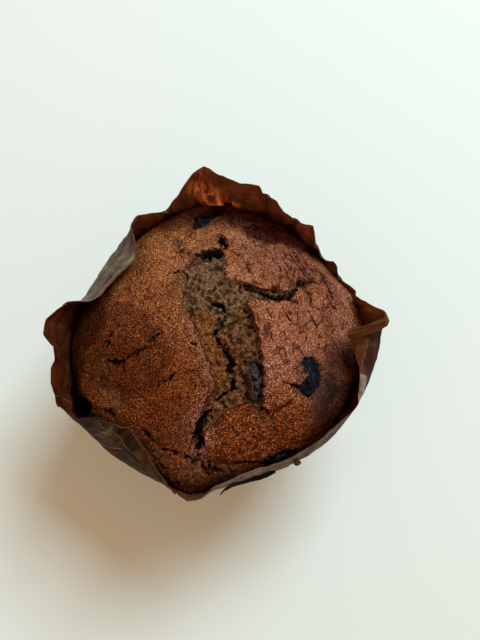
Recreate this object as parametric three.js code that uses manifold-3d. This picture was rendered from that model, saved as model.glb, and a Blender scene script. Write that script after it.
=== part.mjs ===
// A baked muffin in the tulip paper case that it was baked in.
// Millimetres, +Z up. The origin is the centre of the case's flat foot, which stands on the table.
// The cake is one solid with its split crust in relief, the berries that show are set in pockets in it,
// and the case is one thin sheet that runs from the foot up the wall to four corner petals.
import * as THREE from "three";
import { mergeVertices } from "three/addons/utils/BufferGeometryUtils.js";
import Module from "manifold-3d";

const wasm = await Module();
wasm.setup();

// ---- driving dimensions -------------------------------------------------------------------------
const FOOT_RADIUS = 25; // flat foot of the cake
const EQUATOR_HEIGHT = 54; // where the top has spread widest
const DOME_RISE = 22; // from the equator to the crown
const EQUATOR_RADII = [41.8, 39.3, 40.6, 38.4, 41.1, 41.2, 41.0, 39.8]; // every 45 degrees from +X
const WALL_FLARE = 9.5; // how far the baked wall leans out between foot and equator
const LIP_START = 30; // height where the top starts to swell over the wall
const PAPER = 0.45; // thickness of the sheet
const GAP = 0.4; // air between cake and sheet, and round each berry
const PLEAT_DEPTH = 1.3; // how far a ridge stands out from the valleys beside it
const PLEAT_STEP = 4.2; // degrees from a ridge to the next valley, at most

const TOP_GRID = 46; // cells along each side of the square net that is pressed round over the top
const LIP_HEIGHTS = [LIP_START, 38, 44, 49, EQUATOR_HEIGHT]; // rings of both the cake and the sheet
const SHEET_HEIGHTS = [0, 11, 21, ...LIP_HEIGHTS];
const RIM_STEPS = 4; // rings of the sheet above the equator

// The sheet's free edge, anticlockwise, wherever it turns:
// [direction in degrees from +X, radius of the edge, its height, the sheet's radius halfway up to it].
const RIM = [
  [2, 37.4, 74.5, 44.6], // deep tuck beside the right petal
  [6, 45.9, 80, 43.8], // right petal
  [12, 42.6, 74, 42.6],
  [19, 41.4, 66.5, 41.6],
  [31, 40.5, 60, 40.7], // low edge between the right and back petals
  [44, 40.6, 60.5, 40.6],
  [50, 42.3, 69, 41.0], // small stub beside the back petal
  [58, 40.3, 70, 40.9],
  [67, 41.6, 75, 41.2], // back petal
  [73, 42.3, 78, 41.5],
  [80, 41.7, 80, 41.8],
  [94, 44.7, 85, 42.8],
  [100, 42.6, 83, 42.0],
  [107, 39.6, 77, 41.0],
  [111, 40.0, 70, 40.6],
  [125, 41.6, 67, 40.9],
  [130, 36.4, 70, 40.5], // flap that leans in over the shoulder
  [136, 32.8, 71.5, 39.6],
  [151, 33.7, 71, 40.0],
  [159, 35.0, 71, 41.6],
  [164, 39.3, 71, 42.2],
  [168, 43.0, 74, 42.8], // left petal
  [175, 45.4, 78.5, 43.2],
  [180, 45.5, 79, 43.2],
  [185, 43.7, 75, 43.0],
  [191, 45.1, 73, 43.2],
  [199, 45.8, 73, 44.4],
  [204, 45.2, 68, 46.2],
  [209, 43.2, 67, 45.2],
  [214, 38.6, 70, 44.0], // long side that leans in between the left and front petals
  [227, 33.8, 72, 43.3],
  [236, 35.2, 72, 43.0],
  [253, 41.2, 71, 43.0],
  [261, 44.6, 73, 43.2], // front petal
  [267, 42.3, 70, 42.2],
  [273, 39.8, 66, 41.2],
  [282, 38.0, 65, 40.5], // side that hugs the shoulder between the front and right petals
  [300, 38.4, 65, 40.3],
  [317, 39.6, 65.5, 41.0],
  [326, 41.3, 64, 42.2],
  [334, 43.3, 65, 43.6],
  [350, 40.4, 71, 45.0],
  [357, 38.6, 73, 45.0],
];

// The open split in the crust and the cracks, as lines seen from above: [x, y, half width].
const SPLIT = [
  [1.5, 26, 0.8],
  [-1.5, 22, 4.4],
  [-2.3, 16, 5.2],
  [-1.2, 10.5, 5.8],
  [2.2, 5.5, 6.0],
  [6.2, 0, 5.2],
  [8.2, -13, 4.2],
  [4.0, -17.5, 2.2],
  [-0.8, -20, 1.8],
  [-5.2, -29, 0.5],
];
const BRANCH = [
  [4, 12.5, 2.4],
  [15, 10.7, 1.6],
  [20, 11, 1.3],
  [27, 15.9, 0.4],
];
const FISSURES = [
  [
    [-0.5, 10.2, 0.5],
    [3.0, 7.6, 1.1],
    [1.0, 0.3, 1.1],
    [4.4, -9.5, 1.3],
    [4.7, -14.8, 1.1],
    [-3.2, -21.8, 1.2],
    [-5.1, -28, 0.6],
  ],
  [
    [-30.6, -5.6, 0.4],
    [-26, -5.7, 0.9],
    [-20.5, -3.6, 0.9],
    [-15, 1.4, 0.4],
  ],
  [
    [-15, -13.4, 0.4],
    [-10.5, -10.5, 0.6],
  ],
  [
    [17.5, -11.6, 0.3],
    [21.5, -13.8, 0.9],
  ],
];
const SPLIT_DEPTH = 1.6; // the torn crumb lies this far under the crust
const FISSURE_DEPTH = 3.0;
const TORN_EDGE = 1.0; // width of the step from crust to crumb

// Berries that show: [name, direction in degrees, share of the way out to the equator, half sizes, turn].
// Half sizes are across, along and down, and turn is about the berry's own upright axis.
const BERRIES = [
  ["berry_right", 338, 0.69, [3.6, 5.6, 2.7], 8],
  ["berry_back", 96, 0.87, [5.0, 3.6, 2.6], 22],
  ["berry_split", 311, 0.41, [2.2, 5.4, 2.6], -2],
  ["berry_left", 207.5, 0.96, [3.4, 4.2, 2.8], 10],
  ["berry_front", 299.5, 0.95, [5.0, 3.2, 2.6], 30],
];
const BERRY_PROUD = 0.7; // how far a berry stands above the crust round it
const BERRY_SIDES = [12, 8];

// ---- the cake -----------------------------------------------------------------------------------
const radians = (degrees) => (degrees * Math.PI) / 180;
const mix = (a, b, share) => a + (b - a) * share;

function smooth(from, to, x) {
  const share = Math.min(1, Math.max(0, (x - from) / (to - from)));
  return share * share * (3 - 2 * share);
}

function around(angle, radius, height) {
  return new THREE.Vector3(radius * Math.cos(angle), radius * Math.sin(angle), height);
}

function equatorRadius(angle) {
  const turns = (((angle / (2 * Math.PI)) % 1) + 1) % 1;
  const place = turns * EQUATOR_RADII.length;
  const from = Math.floor(place) % EQUATOR_RADII.length;
  const to = (from + 1) % EQUATOR_RADII.length;
  return mix(EQUATOR_RADII[from], EQUATOR_RADII[to], smooth(0, 1, place - Math.floor(place)));
}

// The baked wall, a leaning cone that swells into a lip under the equator.
function wallRadius(angle, height) {
  const lip = equatorRadius(angle) - FOOT_RADIUS - WALL_FLARE;
  const cone = FOOT_RADIUS + (WALL_FLARE * height) / EQUATOR_HEIGHT;
  return cone + lip * smooth(LIP_START, EQUATOR_HEIGHT + 1, height);
}

// How far (x, y) lies inside a line of varying half width: above 0 inside, in millimetres.
function insideLine(line, x, y) {
  let best = -Infinity;
  for (let i = 0; i + 1 < line.length; i++) {
    const [ax, ay, aw] = line[i];
    const [bx, by, bw] = line[i + 1];
    const length2 = (bx - ax) ** 2 + (by - ay) ** 2;
    const along = ((x - ax) * (bx - ax) + (y - ay) * (by - ay)) / length2;
    const share = Math.min(1, Math.max(0, along));
    const away = Math.hypot(x - mix(ax, bx, share), y - mix(ay, by, share));
    best = Math.max(best, mix(aw, bw, share) - away);
  }
  return best;
}

// Height of the crust over the smooth dome: broad swells, the sunken split, and the cracks.
function relief(x, y) {
  const swell = 0.5 * Math.sin(x / 7 + 1) * Math.cos(y / 9) + 0.35 * Math.sin((x + y) / 5);
  const open = Math.max(insideLine(SPLIT, x, y), insideLine(BRANCH, x, y));
  const torn = smooth(-TORN_EDGE / 2, TORN_EDGE / 2, open);
  const crumb = 0.35 * Math.sin(x * 2.1) * Math.sin(y * 1.7 + x);
  const cut = Math.max(...FISSURES.map((line) => insideLine(line, x, y)));
  return swell - torn * (SPLIT_DEPTH + crumb) - FISSURE_DEPTH * smooth(-0.6, 0.5, cut);
}

// A point of the dome, for a share of the way out from the crown (0) to the equator (1).
function domePoint(angle, share) {
  const bare = EQUATOR_HEIGHT + DOME_RISE * Math.sqrt(1 - share ** 2.2);
  const point = around(angle, equatorRadius(angle) * share, bare);
  point.z += relief(point.x, point.y) * (1 - smooth(0.8, 1, share));
  return point;
}

// A knot of the square net, pressed round: direction, and share of the way out to the equator.
// The knots lie closer together over the crown and at the rim than between them.
function netKnot(i, j) {
  const u = (2 * i) / TOP_GRID - 1;
  const v = (2 * j) / TOP_GRID - 1;
  const x = u * Math.sqrt(1 - (v * v) / 2);
  const y = v * Math.sqrt(1 - (u * u) / 2);
  const out = Math.min(1, Math.hypot(x, y));
  return { angle: Math.atan2(y, x), share: mix(out, smooth(0, 1, out), 0.3) };
}

function cakeGeometry() {
  const side = TOP_GRID + 1;
  const half = TOP_GRID / 2;
  const points = [];
  const faces = [];
  for (let j = 0; j < side; j++) {
    for (let i = 0; i < side; i++) {
      const { angle, share } = netKnot(i, j);
      points.push(domePoint(angle, share));
      if (i === TOP_GRID || j === TOP_GRID) continue;
      const a = j * side + i;
      const [b, c, d] = [a + 1, a + 1 + side, a + side];
      if (i < half === j < half) faces.push(a, b, c, a, c, d);
      else faces.push(a, b, d, b, c, d);
    }
  }
  // The net's border, anticlockwise, is the equator, and the wall hangs from it ring by ring.
  const border = [];
  for (let k = 0; k < TOP_GRID; k++) border.push([k, 0]);
  for (let k = 0; k < TOP_GRID; k++) border.push([TOP_GRID, k]);
  for (let k = TOP_GRID; k > 0; k--) border.push([k, TOP_GRID]);
  for (let k = TOP_GRID; k > 0; k--) border.push([0, k]);
  const angles = border.map(([i, j]) => netKnot(i, j).angle);
  const sole = PAPER + GAP;
  let upper = border.map(([i, j]) => j * side + i);
  for (const height of [...LIP_HEIGHTS.slice(0, -1).reverse(), sole]) {
    const first = points.length;
    points.push(...angles.map((angle) => around(angle, wallRadius(angle, height), height)));
    const lower = angles.map((_, k) => first + k);
    lower.forEach((a, k) => {
      const next = (k + 1) % lower.length;
      faces.push(a, lower[next], upper[next], a, upper[next], upper[k]);
    });
    upper = lower;
  }
  const centre = points.length;
  points.push(new THREE.Vector3(0, 0, sole));
  upper.forEach((a, k) => faces.push(centre, upper[(k + 1) % upper.length], a));
  return new THREE.BufferGeometry().setFromPoints(points).setIndex(faces);
}

// ---- the berries --------------------------------------------------------------------------------
// An ellipsoid set in the crust, grown by extra all round when it is used to cut the berry's pocket.
function berryGeometry([, direction, share, halfSizes, turn], extra) {
  const angle = radians(direction);
  const step = 0.02;
  const fall = domePoint(angle, share - step).z - domePoint(angle, share + step).z;
  const slope = Math.atan2(fall, 2 * step * equatorRadius(angle));
  const outward = around(angle, Math.sin(slope), Math.cos(slope));
  const upright = new THREE.Quaternion().setFromUnitVectors(new THREE.Vector3(0, 0, 1), outward);
  const centre = domePoint(angle, share).addScaledVector(outward, BERRY_PROUD - halfSizes[2]);
  return new THREE.SphereGeometry(1, ...BERRY_SIDES)
    .scale(...halfSizes.map((size) => size + extra))
    .rotateZ(radians(turn))
    .applyQuaternion(upright)
    .translate(...centre);
}

function solidOf(geometry) {
  const bare = geometry.clone();
  bare.deleteAttribute("normal");
  bare.deleteAttribute("uv");
  const merged = mergeVertices(bare, 1e-4);
  return new wasm.Manifold(
    new wasm.Mesh({
      numProp: 3,
      vertProperties: new Float32Array(merged.attributes.position.array),
      triVerts: new Uint32Array(merged.index.array),
    }),
  );
}

function geometryOf(solid) {
  const { vertProperties, triVerts } = solid.getMesh();
  const geometry = new THREE.BufferGeometry();
  geometry.setAttribute("position", new THREE.BufferAttribute(vertProperties, 3));
  geometry.setIndex(new THREE.BufferAttribute(triVerts, 1));
  geometry.computeVertexNormals();
  return geometry;
}

// ---- the paper case -----------------------------------------------------------------------------
// A closed body from rings of points, lowest ring first. Both ends close on their own centre point.
function closedRings(rings, bottom, top) {
  const count = rings[0].length;
  const points = [...rings.flat(), bottom, top];
  const at = (ring, i) => ring * count + (i % count);
  const last = rings.length - 1;
  const faces = [];
  for (let i = 0; i < count; i++) {
    faces.push(points.length - 2, at(0, i + 1), at(0, i));
    faces.push(points.length - 1, at(last, i), at(last, i + 1));
    for (let ring = 0; ring < last; ring++) {
      faces.push(at(ring, i), at(ring, i + 1), at(ring + 1, i + 1));
      faces.push(at(ring, i), at(ring + 1, i + 1), at(ring + 1, i));
    }
  }
  return new THREE.BufferGeometry().setFromPoints(points).setIndex(faces);
}

// Outer side of the sheet along one fold, as [radius, height] points from the foot to the free edge.
function foldLine(angle, [rimRadius, rimHeight, bellyRadius], isRidge) {
  const line = SHEET_HEIGHTS.map((height) => {
    const opened = smooth(0, LIP_START, height) * (1 - 0.5 * smooth(40, EQUATOR_HEIGHT, height));
    const ridge = isRidge ? PLEAT_DEPTH * opened : 0;
    return new THREE.Vector2(wallRadius(angle, height) + GAP + PAPER + ridge, height);
  });
  const equator = line[line.length - 1];
  const rim = new THREE.Vector2(rimRadius, rimHeight);
  const belly = new THREE.Vector2(bellyRadius, mix(equator.y, rim.y, 0.5));
  const pull = belly.multiplyScalar(2).sub(equator.clone().add(rim).multiplyScalar(0.5));
  const above = new THREE.QuadraticBezierCurve(equator, pull, rim).getPoints(RIM_STEPS);
  return [...line, ...above.slice(1)];
}

// The same line moved inwards by the sheet's thickness, square to the line.
function innerLine(line) {
  return line.map((point, i) => {
    if (i === 0) return new THREE.Vector2(point.x - PAPER, PAPER);
    const after = line[Math.min(i + 1, line.length - 1)];
    const along = after.clone().sub(line[i - 1]).normalize();
    return new THREE.Vector2(point.x - along.y * PAPER, point.y + along.x * PAPER);
  });
}

// The sheet's folds all the way round: the turns of the rim, with pleats between them.
function caseFolds() {
  const folds = [];
  RIM.forEach(([degrees, ...here], i) => {
    const [nextDegrees, ...next] = RIM[(i + 1) % RIM.length];
    const gone = (nextDegrees - degrees + 360) % 360;
    const steps = Math.ceil(gone / PLEAT_STEP);
    for (let k = 0; k < steps; k++) {
      const share = k / steps;
      const angle = radians(degrees + gone * share);
      const edge = here.map((value, n) => mix(value, next[n], share));
      folds.push({ angle, line: foldLine(angle, edge, folds.length % 2 === 0) });
    }
  });
  return folds;
}

function caseGeometry() {
  const folds = caseFolds();
  const placed = (angle, line) => line.map(({ x, y }) => around(angle, x, y));
  const outer = folds.map(({ angle, line }) => placed(angle, line));
  const inner = folds.map(({ angle, line }) => placed(angle, innerLine(line)));
  const ringsOf = (lines) => lines[0].map((_, k) => lines.map((line) => line[k]));
  const rings = [...ringsOf(outer), ...ringsOf(inner).reverse()];
  return closedRings(rings, new THREE.Vector3(0, 0, 0), new THREE.Vector3(0, 0, PAPER));
}

// ---- assembly -----------------------------------------------------------------------------------
const material = (color, roughness) =>
  new THREE.MeshStandardMaterial({ color, roughness, metalness: 0, flatShading: true });
const crust = material(0x6b3a1f, 0.85);
const berrySkin = material(0x10131c, 0.35);
const paper = material(0x4a2410, 0.45);

const muffin = new THREE.Group();

function addPiece(name, geometry, finish) {
  const piece = new THREE.Mesh(geometry, finish);
  piece.name = name;
  muffin.add(piece);
}

let cake = solidOf(cakeGeometry());
for (const berry of BERRIES) cake = cake.subtract(solidOf(berryGeometry(berry, GAP)));
addPiece("cake", geometryOf(cake), crust);
for (const berry of BERRIES) addPiece(berry[0], berryGeometry(berry, 0), berrySkin);
addPiece("paper_case", caseGeometry(), paper);

export default muffin;
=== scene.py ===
import math
import bpy
import numpy as np
from mathutils import Matrix, Quaternion, Vector, noise


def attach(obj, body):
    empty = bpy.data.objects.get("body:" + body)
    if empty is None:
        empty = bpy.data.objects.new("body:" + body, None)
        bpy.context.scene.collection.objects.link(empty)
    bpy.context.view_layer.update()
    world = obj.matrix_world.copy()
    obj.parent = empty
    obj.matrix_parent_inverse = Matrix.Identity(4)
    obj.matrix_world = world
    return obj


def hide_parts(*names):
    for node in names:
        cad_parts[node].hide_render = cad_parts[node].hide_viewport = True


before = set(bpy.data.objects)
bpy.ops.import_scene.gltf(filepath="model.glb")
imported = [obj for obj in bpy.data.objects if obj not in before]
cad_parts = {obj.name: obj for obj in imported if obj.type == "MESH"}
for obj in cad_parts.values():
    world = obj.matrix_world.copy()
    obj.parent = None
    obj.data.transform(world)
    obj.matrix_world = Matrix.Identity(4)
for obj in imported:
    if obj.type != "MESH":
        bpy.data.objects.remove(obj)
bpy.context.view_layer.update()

mm = 0.001
print("frame loaded with", len(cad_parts), "nodes")


# tools for numbers

def mix(a, b, share):
    return a + (b - a) * share


def smooth(low, high, x):
    share = np.clip((np.asarray(x, float) - low) / (high - low), 0.0, 1.0)
    return share * share * (3.0 - 2.0 * share)


def hump(x, wide):  # a soft rise to 1 where x is 0
    return np.exp(-(x / wide) ** 2)


def turnFrom(direction, angle):  # degrees from a direction to an angle, the short way round
    return (angle - direction + 180.0) % 360.0 - 180.0


def lumps(points, size, seed):  # soft noise from -1 to 1, its lumps about size across
    shift = Vector((seed * 7.31, seed * 3.17, seed * 5.77))
    return np.array([noise.noise(Vector(p) / size + shift) for p in points])


def toLine(x, y, start, end):  # distance to a straight line, and the share of the way along it
    (ax, ay), (bx, by) = start, end
    ex, ey = bx - ax, by - ay
    share = np.clip(((x - ax) * ex + (y - ay) * ey) / (ex * ex + ey * ey), 0.0, 1.0)
    return np.hypot(x - ax - share * ex, y - ay - share * ey), share


def insideLine(x, y, line):  # how far a place lies inside a line of (x, y, half width) points
    best = np.full(x.shape, -np.inf)
    for (*start, wide), (*end, wideEnd) in zip(line, line[1:]):
        away, share = toLine(x, y, start, end)
        best = np.maximum(best, mix(wide, wideEnd, share) - away)
    return best


def insideLines(x, y, lines):
    return np.max([insideLine(x, y, line) for line in lines], axis=0)


def insideShape(x, y, outline):  # distance to a closed outline, above 0 inside it
    away = np.full(x.shape, np.inf)
    within = np.zeros(x.shape, bool)
    for (ax, ay), (bx, by) in zip(outline, outline[1:] + outline[:1]):
        away = np.minimum(away, toLine(x, y, (ax, ay), (bx, by))[0])
        if ay != by:
            within ^= ((ay > y) != (by > y)) & (x < (bx - ax) * (y - ay) / (by - ay) + ax)
    return np.where(within, away, -away)


# tools for meshes

def selectOnly(*pieces):  # the frame's nodes come selected; the last piece given is the active one
    if bpy.context.object and bpy.context.object.mode != "OBJECT":
        bpy.ops.object.mode_set(mode="OBJECT")
    bpy.ops.object.select_all(action="DESELECT")
    for piece in pieces:
        piece.select_set(True)
        bpy.context.view_layer.objects.active = piece


def pointOutwards():  # the faces of the active piece
    bpy.ops.object.mode_set(mode="EDIT")
    bpy.ops.mesh.select_all(action="SELECT")
    bpy.ops.mesh.normals_make_consistent(inside=False)
    bpy.ops.object.mode_set(mode="OBJECT")


def readPoints(piece, what="co"):  # places, or with "normal" the ways they face
    piece.data.update()
    spots = np.empty(len(piece.data.vertices) * 3, dtype=np.float32)
    piece.data.vertices.foreach_get(what, spots)
    return spots.reshape(-1, 3).astype(float)


def writePoints(piece, spots):
    piece.data.vertices.foreach_set("co", np.ascontiguousarray(spots, dtype=np.float32).ravel())
    piece.data.update()


def writeMasks(piece, **masks):  # a value for each point, or one for all of them
    for name, values in masks.items():
        mask = piece.data.attributes.new(name, "FLOAT", "POINT")
        mask.data.foreach_set("value", np.float32(values + np.zeros(len(piece.data.vertices))))


def finishPiece(piece, name, node, smoothAngle=180.0):
    selectOnly(piece)
    piece.name = name
    piece.data.name = name
    bpy.ops.object.shade_smooth_by_angle(angle=math.radians(smoothAngle))
    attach(piece, "root")
    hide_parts(node)
    print(name, "done,", len(piece.data.polygons), "faces")


# the cake, in millimetres until its points are written
# swells are where the crust rose against the paper: direction, reach in degrees, height
cake = {
    "footRadius": 25.0,
    "equatorHeight": 54.0,
    "rise": 22.0,
    "equatorRadii": [41.8, 39.3, 40.6, 38.4, 41.1, 41.2, 41.0, 39.8],
    "dent": {"direction": 287.0, "reach": 15.0, "depth": 2.4},
    "swells": [(258, 9, 3.8), (206, 10, 2.4), (90, 32, 1.2), (184, 14, 1.6), (5, 9, 2.3), (19, 9, 1.7)],
    "wallFlare": 9.5,
    "lipStart": 30.0,         # from this height the wall widens to the equator
    "netCells": 300,
    "wallRings": [49.0, 44.0, 38.0, 30.0, 15.0, 0.85],
    "tornStep": 0.45,         # width of the step from crust to crumb
    "crumbDepth": 1.5,
    "gapDepth": 2.2,
    "lipLift": 0.5,           # the crust curls up beside the split
    "plateLift": 0.9,
    "berrySocket": 3.6,       # how far the crust sinks over a bare berry
    # the crust darkens towards its edge: painted shade where the paper hems it in, partly darker baking
    "edgeToast": 0.43,
    "looseCrumb": (22.6, -33.5, 61.5),  # clings to the edge of the paper
    "looseHalf": (1.0, 0.85, 0.9),
}

splitOutline = [  # where the crust tore open and the crumb shows
    (-4, 24), (-1, 24.2), (1.4, 25.2), (2.2, 20.6), (2.6, 17.4), (3.7, 16.1), (5.9, 15), (8.3, 14.8),
    (11.1, 13.8), (12.4, 12.8), (16.4, 13.7), (19.3, 13.1), (21.9, 16.2), (26.5, 16.6), (24.4, 15.2),
    (21.2, 13.7), (19.5, 10.6), (16.1, 10.2), (11.4, 10.7), (9, 10), (8.1, 8.7), (9.5, 6.3), (10.5, 3),
    (12.2, -5.7), (12.5, -15.4), (12.4, -19), (11.2, -18.2), (8.6, -17.2), (5, -18.3), (1.6, -21),
    (-0.4, -23.3), (-3, -25.1), (-3.3, -28.6), (-4.9, -30.7), (-5.9, -26.1), (-4.8, -23), (-1.7, -17.2),
    (-0.2, -15.7), (0.6, -12.5), (-1.7, -6.3), (-3.2, -2), (-5.1, 2.9), (-7.4, 8.2), (-8.3, 10.7),
    (-7.2, 13.8), (-8.3, 16.8), (-8.1, 18.9), (-4.1, 22.5),
]
holeOutline = [(0.8, 29.2), (2.3, 28), (3.5, 26.9), (2.3, 25.2), (1.2, 26.7)]
goldenStrip = [  # the part of the crumb that baked golden
    (-6.4, 5.7), (-3.2, -2), (-1.7, -6.3), (0.6, -12.5), (-0.3, -15.8), (2.9, -16), (4.6, -13.5),
    (3.8, -8.6), (2.7, -3.2), (-0.4, 0.6), (-0.9, 5), (-2.4, 9),
]
cliffLine = [  # the steep wall under the split's right lip: x, y and half width, as in the next three
    (8.1, 8.9, 0.2), (9.6, 6.3, 0.3), (10.6, 3, 0.3), (12.2, -5.7, 0.3), (12.5, -15.4, 0.35),
    (12.4, -19, 0.3), (15.3, -19.2, 0.1),
]
gapLines = [  # deep dark cracks
    [(-2.4, 12.4, 0.1), (-0.4, 9.2, 0.35), (2.3, 8.7, 0.7), (2.8, 5.7, 0.35), (1.6, 2.6, 0.3),
     (-0.4, 0.6, 0.35), (0.9, -1.4, 0.6), (2.7, -3.2, 0.5), (4.3, -6.3, 1), (3.9, -8.6, 1.1),
     (5, -10.9, 0.45), (4.6, -14, 0.6), (2.9, -16, 0.5), (0.6, -17.2, 0.2)],
    [(-1.8, -20.2, 0.6), (-4.3, -23.4, 1.2), (-4.9, -25.9, 1.3), (-4.1, -28.3, 1), (-5.2, -30.7, 0.5),
     (-4.2, -33.6, 0.3)], [(-5.6, 23.2, 0.4), (-3.3, 23.4, 0.9), (1.2, 24.2, 1)],
    [(2.4, 26.4, 1), (1.4, 28.4, 0.5)],
    [(8.6, 14, 0), (12, 12.3, 0.3), (14, 11.6, 0.6), (17, 11, 0.8), (20.2, 11.4, 1), (21.6, 13.8, 0.6),
     (23.4, 15.4, 0.4), (26.6, 16.4, 0.15)],
    [(8, 14.6, 0), (11.6, 13.3, 0.15), (15.2, 13.2, 0.3), (18.6, 12.9, 0.2)],
    [(-30.6, -5.9, 0.3), (-28, -6.2, 0.75), (-23.1, -5.4, 0.35), (-19.2, -2.8, 0.6)],
    [(-18.2, -1.4, 0.1), (-16.6, -0.2, 0.45), (-14.4, 1.3, 0.3)],
    [(-15.2, -13.2, 0), (-12, -10.8, 0.45), (-10.6, -9.9, 0)],
    [(-12.9, 17.9, 0), (-10.2, 18.1, 0.15), (-8, 17.8, 0.3)],
    [(-11.9, 23.8, 0), (-9, 24.3, 0.25), (-6.5, 24.4, 0.1)], [(-10.9, 28.1, 0.3), (-10, 26.2, 0.4)],
    [(-6.7, -1.7, 0), (-4.8, -2.3, 0.2), (-3.6, -2, 0.1)], [(-7.6, 7.6, 0), (-6, 6.3, 0.25)],
    [(17.6, -11.6, 0.1), (19.4, -12.3, 0.35), (21.9, -12.9, 0.7), (24, -13.2, 0.8)],
    [(-29.7, -1.4, 0.2), (-28.9, 1.6, 0.35), (-28, 2.7, 0.1)], [(-30.2, -19.4, 0.6), (-28.2, -20.8, 0.6)],
    [(-2.2, -33.2, 0.4), (-1.2, -35.4, 0.6), (1.6, -36.6, 0.4)],
    [(-4.2, -33.4, 0.2), (-2.6, -35.2, 0.5), (-1.8, -36.2, 0.3)],
    [(-14.6, -29.8, 0.2), (-12.4, -30.6, 0.5), (-10.4, -31, 0.3)],
    [(-7.4, -32.2, 0.1), (-6, -33.6, 0.4), (-5.4, -35.6, 0.1)],
    [(-19.6, -24.2, 0.1), (-18.4, -25.2, 0.35), (-16.8, -27.8, 0.1)], [(-9.6, -31.6, 0.2), (-7, -32.4, 0.4)],
    [(12.2, -19, 0.5), (14, -19.7, 0.35), (15.6, -20.8, 0.15)],
]
furrowLines = [  # broad shallow breaks where the crust let the crumb show
    [(23.3, 15.7, 0.3), (24.9, 12.9, 1), (26.5, 10.1, 1.2), (29.3, 7.7, 1), (31, 5, 1.2), (31.8, 1.4, 1.1),
     (33.2, -1.9, 0.5)],
    [(13.4, -20.6, 0.5), (15.2, -22.4, 0.9), (15.6, -25, 1.1), (14.9, -27.4, 0.9), (13.5, -31, 0.5)],
    [(12.6, -19.6, 0.3), (16.8, -18.9, 0.7), (20.2, -17.4, 0.7), (22.4, -15.6, 0.3)],
]
creaseLines = [  # fine dry cracks in the crust
    [(20.9, 23.6, 0), (22.5, 20.5, 0.12), (24.4, 17.7, 0.1), (25.8, 16.3, 0)],
    [(21.9, 24.2, 0), (23.5, 21.1, 0.1), (24.8, 18.8, 0.1), (27.4, 16.8, 0)],
    [(25.8, 16.4, 0.1), (28.8, 15.4, 0)], [(24.7, 14.3, 0), (26.6, 10.4, 0.12), (27, 9, 0)],
    [(25.4, 8.2, 0), (27.1, 5.4, 0.1), (28.3, 3, 0)], [(19.9, 8.2, 0), (20.5, 6.5, 0.1)],
    [(16.4, 20.8, 0), (17.6, 18.6, 0.1)], [(11.4, 22.6, 0), (12.6, 20.2, 0.1)],
    [(28.6, 20.4, 0), (30.2, 17.4, 0.1), (31.6, 13.6, 0.1), (33.4, 10, 0)],
    [(30.6, 12.8, 0), (32.8, 8.8, 0.1)], [(14.6, 1.6, 0), (15.4, -0.8, 0.1)],
    [(24.6, 2.2, 0), (25, -0.6, 0.1)], [(17.6, -4.6, 0), (18.4, -7, 0.1)],
    [(17.8, 22.7, 0), (19, 20.4, 0.1), (20.8, 18.4, 0)],
    [(23.6, 25.1, 0), (25.7, 21.2, 0.12), (27.2, 19, 0)], [(4.2, 24.8, 0.05), (6.8, 23, 0.05)],
    [(7.6, 21.9, 0), (9.2, 18.6, 0.12)], [(13.6, 7.8, 0), (15.2, 5.4, 0.1)],
    [(18.4, 8.2, 0), (20.4, 5, 0.12), (21.8, 3.6, 0)], [(18.6, 12.4, 0), (20.4, 10.2, 0.1), (23, 9.4, 0)],
    [(-5.4, 6.4, 0.1), (-3, -2, 0.15), (-1.6, -6.4, 0.2), (0.5, -12, 0.2), (0.2, -15.8, 0.1)],
    [(-2, -33.8, 0.1), (2, -34.6, 0.25), (9, -33.2, 0.2), (14, -33.6, 0.1)],
    [(15.6, -20, 0.15), (18, -18.4, 0.2), (21, -16.6, 0.2)], [(-8.6, -11, 0), (-5.6, -8.6, 0.05)],
    [(-24.4, -11.2, 0), (-25.2, -7.4, 0.15), (-24.6, -5.6, 0.1)],
]
lobes = [  # broad rises of the crust: place, reach across and along, height
    (6, -25, 6.5, 6, 1.3), (21, -22.5, 5.5, 5, 1.2), (20, -2, 7, 11, 0.5), (12, 20.5, 8, 5, 0.6),
    (-14, -4, 11, 14, 0.5), (-31, -10, 4, 4.5, 0.7), (-5.5, -37, 6.5, 3, 0.9), (-13.5, -14, 9, 7, 0.3),
    (8, -35.8, 8, 1.6, 0.5), (-31.5, -14.5, 2.5, 3, -0.6), (2, -34.6, 8, 1.3, -0.5),
    (-26.4, -15.5, 3, 3, -0.4),
]
roughPlaces = [  # (x, y, reach, strength): where the crust broke up while it baked
    (-16, -32, 5, 0.6), (-11, -27.5, 3, 0.4), (-20, -26, 3.5, 0.4), (-8, -38.5, 5, 0.9), (-5.5, -34, 5, 1),
    (3, -36.5, 6, 0.8), (-29.5, -14.5, 5, 0.7), (-10.3, 27, 3, 0.8), (13.6, -22, 3.2, 0.7),
    (-27.5, -17.5, 3.5, 0.8), (14, -31.5, 3, 0.8), (-31, -7.5, 4.5, 0.5), (-9.5, 14, 3, 0.6),
    (-7, -24, 2.4, 0.6), (-13.5, -35, 4, 0.6),
]
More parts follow.
